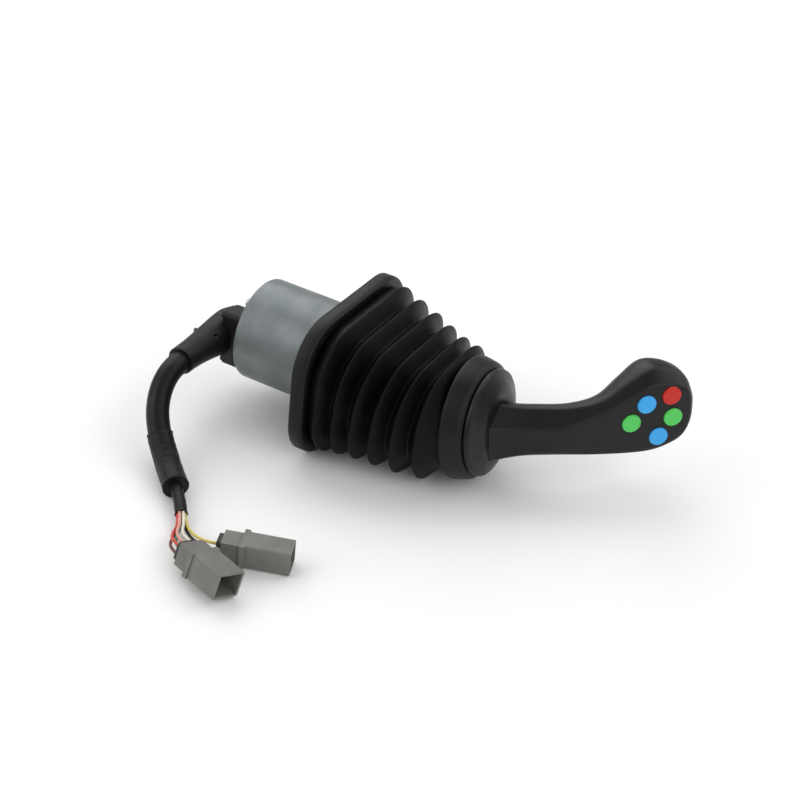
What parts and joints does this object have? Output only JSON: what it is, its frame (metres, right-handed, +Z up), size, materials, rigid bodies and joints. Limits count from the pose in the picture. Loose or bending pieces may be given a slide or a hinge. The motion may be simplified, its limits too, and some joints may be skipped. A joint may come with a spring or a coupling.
{
  "type": "industrial joystick",
  "caption": "Panel-mounted industrial joystick with a folded rubber boot, a moulded grip with coloured push buttons, a steel can and a plugged harness.",
  "frame": {"origin": "centre of the mounting face, which is the rear face of the mounting plate", "axes": "+X along the mounting face's normal, out of the panel towards the grip; +Z up, across the plate's short side; +Y along the plate's long side, Z cross X"},
  "size_m": [0.3254, 0.3029, 0.1017],
  "materials": {
    "zinc_steel": "satin",
    "black_steel": "satin",
    "steel": "polished",
    "black_oxide": "matte",
    "brass": "satin",
    "rubber": "matte",
    "gasket_rubber": "matte",
    "cast_aluminium": "satin",
    "grip_nylon": "satin",
    "black_nylon": "matte",
    "bush_plastic": "matte",
    "magnet": "polished",
    "board": "gloss",
    "chip": "matte",
    "conduit_plastic": "satin",
    "shrink_plastic": "satin",
    "plug_nylon": "matte",
    "seal_silicone": "matte",
    "tinned_brass": "satin",
    "wire_red": "satin",
    "wire_brown": "satin",
    "wire_green": "satin",
    "wire_pink": "satin",
    "wire_white": "satin",
    "wire_black": "satin",
    "wire_yellow": "satin",
    "cap_red": "satin",
    "cap_blue": "satin",
    "cap_green": "satin"
  },
  "bodies": {
    "base": {"housing_can": "zinc_steel", "can_gasket": "gasket_rubber", "mounting_plate": "black_steel", "bellows_boot": "rubber", "gimbal_frame": "cast_aluminium", "frame_screws": "steel", "frame_bushes": "bush_plastic", "sensor_board": "board", "hall_sensors": "chip", "board_pillars": "brass", "can_screws": "steel", "socket_flange": "black_nylon", "socket_contacts": "tinned_brass", "flange_screws": "steel", "elbow_upper": "black_nylon", "elbow_lower": "black_nylon", "elbow_screws": "steel", "conduit": "conduit_plastic", "heat_shrink_sleeve": "shrink_plastic", "inner_sleeve": "shrink_plastic", "wire_red": "wire_red", "wire_brown": "wire_brown", "wire_green": "wire_green", "wire_pink": "wire_pink", "wire_white": "wire_white", "wire_black": "wire_black", "wire_yellow": "wire_yellow", "plug_six_housing": "plug_nylon", "plug_six_seal": "seal_silicone", "plug_six_pins": "tinned_brass", "plug_six_wedge": "seal_silicone", "plug_four_housing": "plug_nylon", "plug_four_seal": "seal_silicone", "plug_four_pins": "tinned_brass", "plug_four_wedge": "seal_silicone"},
    "gimbal": {"gimbal_ring": "cast_aluminium", "ring_pins": "steel", "ring_bushes": "bush_plastic", "ring_spacer": "bush_plastic", "pitch_spring": "steel"},
    "lever": {"lever_shaft": "steel", "lever_hub": "steel", "hub_pin": "steel", "hub_spacer": "bush_plastic", "roll_spring": "steel", "magnet_carrier": "black_nylon", "sensor_magnet": "magnet", "boot_retainer": "black_nylon", "grip_flange": "grip_nylon", "grip_rear_shell": "grip_nylon", "grip_front_cover": "grip_nylon", "grip_screws": "black_oxide", "grip_set_screw": "black_oxide", "switch_board": "board", "tact_switches": "chip"},
    "button_green_left": {"button_green_left": "cap_green"},
    "button_blue_upper": {"button_blue_upper": "cap_blue"},
    "button_red": {"button_red": "cap_red"},
    "button_green_right": {"button_green_right": "cap_green"},
    "button_blue_lower": {"button_blue_lower": "cap_blue"}
  },
  "joints": [
    {"name": "pitch", "type": "hinge", "parent": "base", "child": "gimbal", "pos_m": [-0.012, 0, 0], "axis": [0, -1, 0], "range_deg": [-16.8, 23.2], "stiffness_Nm_per_rad": 6.95, "springref_deg": 3.2, "deforming": ["bellows_boot", "pitch_spring"]},
    {"name": "roll", "type": "hinge", "parent": "gimbal", "child": "lever", "pos_m": [-0.012, 0, 0], "axis": [0.0558, 0, 0.9984], "range_deg": [-20, 20], "stiffness_Nm_per_rad": 6.95, "deforming": ["bellows_boot", "roll_spring"]},
    {"name": "press_green_left", "type": "slide", "parent": "lever", "child": "button_green_left", "axis": [-0.6747, 0.7314, -0.0996], "range_m": [0, 0.001], "stiffness_N_per_m": 400, "springref_m": -0.0005},
    {"name": "press_blue_upper", "type": "slide", "parent": "lever", "child": "button_blue_upper", "axis": [-0.6747, 0.7314, -0.0996], "range_m": [0, 0.001], "stiffness_N_per_m": 400, "springref_m": -0.0005},
    {"name": "press_red", "type": "slide", "parent": "lever", "child": "button_red", "axis": [-0.6747, 0.7314, -0.0996], "range_m": [0, 0.001], "stiffness_N_per_m": 400, "springref_m": -0.0005},
    {"name": "press_green_right", "type": "slide", "parent": "lever", "child": "button_green_right", "axis": [-0.6747, 0.7314, -0.0996], "range_m": [0, 0.001], "stiffness_N_per_m": 400, "springref_m": -0.0005},
    {"name": "press_blue_lower", "type": "slide", "parent": "lever", "child": "button_blue_lower", "axis": [-0.6747, 0.7314, -0.0996], "range_m": [0, 0.001], "stiffness_N_per_m": 400, "springref_m": -0.0005}
  ]
}
